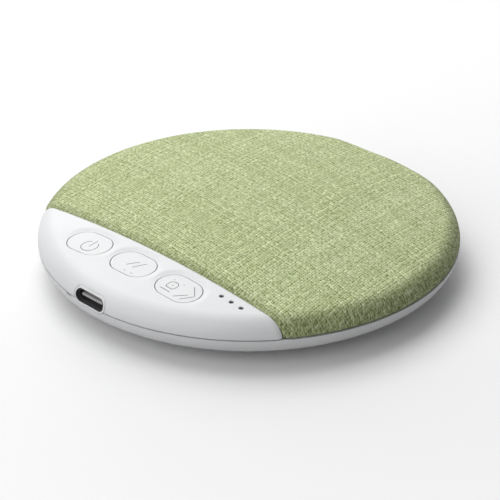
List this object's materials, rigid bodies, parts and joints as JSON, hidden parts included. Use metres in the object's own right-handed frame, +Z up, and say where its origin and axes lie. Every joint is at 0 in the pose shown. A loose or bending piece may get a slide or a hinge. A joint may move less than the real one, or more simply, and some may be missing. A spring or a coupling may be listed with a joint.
{
  "type": "pillow speaker",
  "caption": "Flat round rechargeable speaker that lies under a pillow, with a fabric-covered top, a crescent panel of push buttons and a charging port in its rim.",
  "frame": {"origin": "centre of the case on the plane that its feet stand on", "axes": "+Z up through the fabric crown; -Y towards the button panel and the charging port; +X to the right for someone who looks from the port towards the fabric"},
  "size_m": [0.1, 0.0999, 0.0162],
  "materials": {
    "housing_plastic": "satin",
    "base_plastic": "satin",
    "fabric": "matte woven",
    "foam": "matte open cell foam",
    "grille_metal": "matte",
    "black_plastic": "matte",
    "switch_metal": "satin",
    "led_body": "gloss",
    "smoked_pipe": "gloss smoked",
    "socket_metal": "dark plated",
    "tongue_plastic": "satin",
    "board_laminate": "satin",
    "ferrite": "matte",
    "ceramic": "matte",
    "copper": "satin",
    "connector_plastic": "satin",
    "screw_steel": "satin",
    "battery_foil": "satin",
    "lead_insulation": "satin",
    "magnet_steel": "satin",
    "coil_wire": "satin",
    "spider_cloth": "matte",
    "cone_paper": "matte",
    "surround_rubber": "matte",
    "foot_rubber": "matte"
  },
  "bodies": {
    "case": {"top_housing": "housing_plastic", "lower_shell": "base_plastic", "fabric_cover": "fabric", "foam_pad": "foam", "driver_gasket": "foam", "battery_pad": "foam", "grille_plate": "grille_metal", "driver_basket": "grille_metal", "light_shield": "black_plastic", "controller_chip": "black_plastic", "amplifier_chip": "black_plastic", "charging_chip": "black_plastic", "switch_left": "switch_metal", "switch_middle": "switch_metal", "switch_right": "switch_metal", "timing_crystal": "switch_metal", "status_lights": "led_body", "light_pipes": "smoked_pipe", "usb_shell": "socket_metal", "usb_tongue": "tongue_plastic", "main_board": "board_laminate", "battery_board": "board_laminate", "power_inductor": "ferrite", "capacitors": "ceramic", "antenna_trace": "copper", "driver_terminals": "copper", "battery_socket": "connector_plastic", "battery_plug": "connector_plastic", "speaker_socket": "connector_plastic", "speaker_plug": "connector_plastic", "board_screws": "screw_steel", "driver_screws": "screw_steel", "case_screws": "screw_steel", "battery": "battery_foil", "battery_leads": "lead_insulation", "speaker_leads": "lead_insulation", "driver_yoke": "magnet_steel", "driver_magnet": "magnet_steel", "pole_plate": "magnet_steel", "spider": "spider_cloth", "surround": "surround_rubber", "rubber_feet": "foot_rubber"},
    "button_left_set": {"button_left": "housing_plastic", "plunger_left": "black_plastic"},
    "button_middle_set": {"button_middle": "housing_plastic", "plunger_middle": "black_plastic"},
    "button_right_set": {"button_right": "housing_plastic", "plunger_right": "black_plastic"},
    "cone_set": {"cone": "cone_paper", "dust_cap": "cone_paper", "voice_coil": "coil_wire"}
  },
  "joints": [
    {"name": "button_left_press", "type": "slide", "parent": "case", "child": "button_left_set", "axis": [0, 0, -1], "range_m": [0, 0.0003], "stiffness_N_per_m": 4000},
    {"name": "button_middle_press", "type": "slide", "parent": "case", "child": "button_middle_set", "axis": [0, 0, -1], "range_m": [0, 0.0003], "stiffness_N_per_m": 4000},
    {"name": "button_right_press", "type": "slide", "parent": "case", "child": "button_right_set", "axis": [0, 0, -1], "range_m": [0, 0.0003], "stiffness_N_per_m": 4000},
    {"name": "cone_travel", "type": "slide", "parent": "case", "child": "cone_set", "axis": [0, 0, 1], "range_m": [-0.0008, 0.0008], "stiffness_N_per_m": 1200, "deforming": ["surround", "spider"]}
  ]
}
